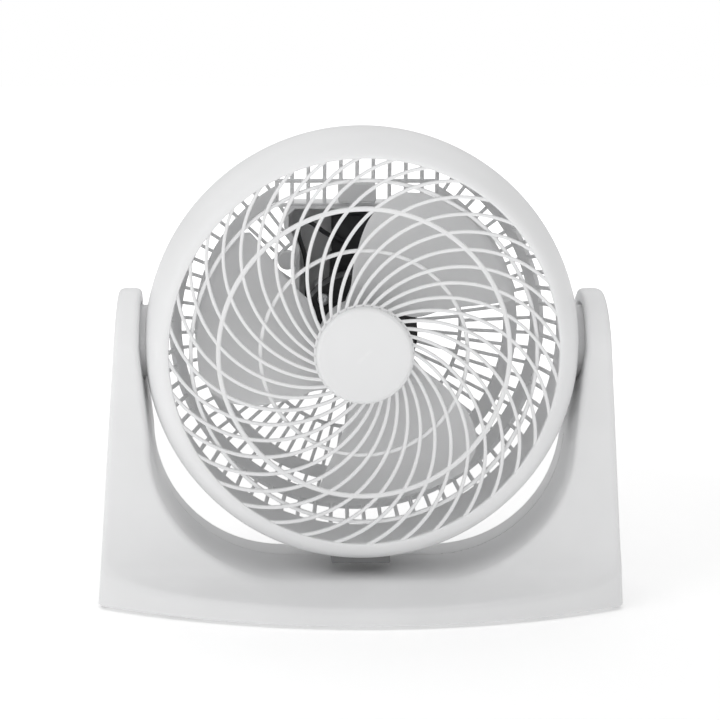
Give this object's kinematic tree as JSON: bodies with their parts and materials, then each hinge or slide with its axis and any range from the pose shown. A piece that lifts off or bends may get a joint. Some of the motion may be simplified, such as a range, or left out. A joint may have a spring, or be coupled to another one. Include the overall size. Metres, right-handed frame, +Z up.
{
  "type": "desk fan",
  "caption": "Round tilting desk fan with a spiral front grille, a three-blade impeller and a U-shaped yoke base.",
  "frame": {"origin": "on the table, under the middle of the fan", "axes": "+X to the right seen from the front, air leaves towards -Y, +Z up"},
  "size_m": [0.322, 0.188, 0.2905],
  "materials": {
    "housing_white": "moulded white plastic with a fine satin texture",
    "blade_plastic": "smooth light grey-white moulded plastic",
    "knob_white": null,
    "dark_plastic": "black moulded plastic and insulation",
    "latch_grey": "grey moulded plastic",
    "rubber_dark": "matt black rubber",
    "fastener_steel": "zinc plated steel",
    "motor_black": "black painted pressed steel",
    "lamination_steel": "stacked steel laminations",
    "winding_copper": "enamelled copper wire",
    "bearing_bronze": "sintered bronze",
    "nylon": "natural nylon"
  },
  "bodies": {
    "base": {"yoke_front_shell": "housing_white", "yoke_rear_shell": "housing_white", "base_plate": "housing_white", "rubber_foot_1": "rubber_dark", "rubber_foot_2": "rubber_dark", "rubber_foot_3": "rubber_dark", "rubber_foot_4": "rubber_dark", "base_screw_1": "fastener_steel", "base_screw_2": "fastener_steel", "base_screw_3": "fastener_steel", "base_screw_4": "fastener_steel", "base_screw_5": "fastener_steel", "base_screw_6": "fastener_steel", "arm_screw_left": "fastener_steel", "arm_screw_right": "fastener_steel", "tilt_bushing_left": "nylon", "tilt_bushing_right": "nylon"},
    "head": {"front_grille": "housing_white", "centre_cap": "housing_white", "rear_shell": "housing_white", "motor_cover": "housing_white", "motor_front_bracket": "motor_black", "motor_rear_bracket": "motor_black", "stator_core": "lamination_steel", "stator_winding": "winding_copper", "front_bearing": "bearing_bronze", "rear_bearing": "bearing_bronze", "motor_bolt_1": "fastener_steel", "motor_bolt_2": "fastener_steel", "motor_bolt_3": "fastener_steel", "motor_bolt_4": "fastener_steel", "rotary_switch": "dark_plastic", "run_capacitor": "dark_plastic", "cord_gland": "rubber_dark", "motor_lead": "dark_plastic", "supply_lead": "dark_plastic", "cover_screw_1": "fastener_steel", "cover_screw_2": "fastener_steel", "cover_screw_3": "fastener_steel", "cover_screw_4": "fastener_steel", "tilt_bolt_left": "fastener_steel", "tilt_bolt_right": "fastener_steel", "grille_latch": "latch_grey"},
    "rotor": {"impeller": "blade_plastic", "impeller_nut": "blade_plastic", "motor_shaft": "fastener_steel", "rotor_core": "lamination_steel", "shaft_spacer": "nylon"},
    "knob": {"speed_knob": "knob_white"}
  },
  "joints": [
    {"name": "head_tilt", "type": "hinge", "parent": "base", "child": "head", "pos_m": [0, -0.012, 0.159], "axis": [-1, 0, 0], "range_deg": [-10, 90]},
    {"name": "blade_spin", "type": "hinge", "parent": "head", "child": "rotor", "pos_m": [0, -0.012, 0.159], "axis": [0, 1, 0], "continuous": true},
    {"name": "speed_knob_turn", "type": "hinge", "parent": "head", "child": "knob", "pos_m": [0, 0.087, 0.216], "axis": [0, -1, 0], "range_deg": [0, 135]}
  ]
}
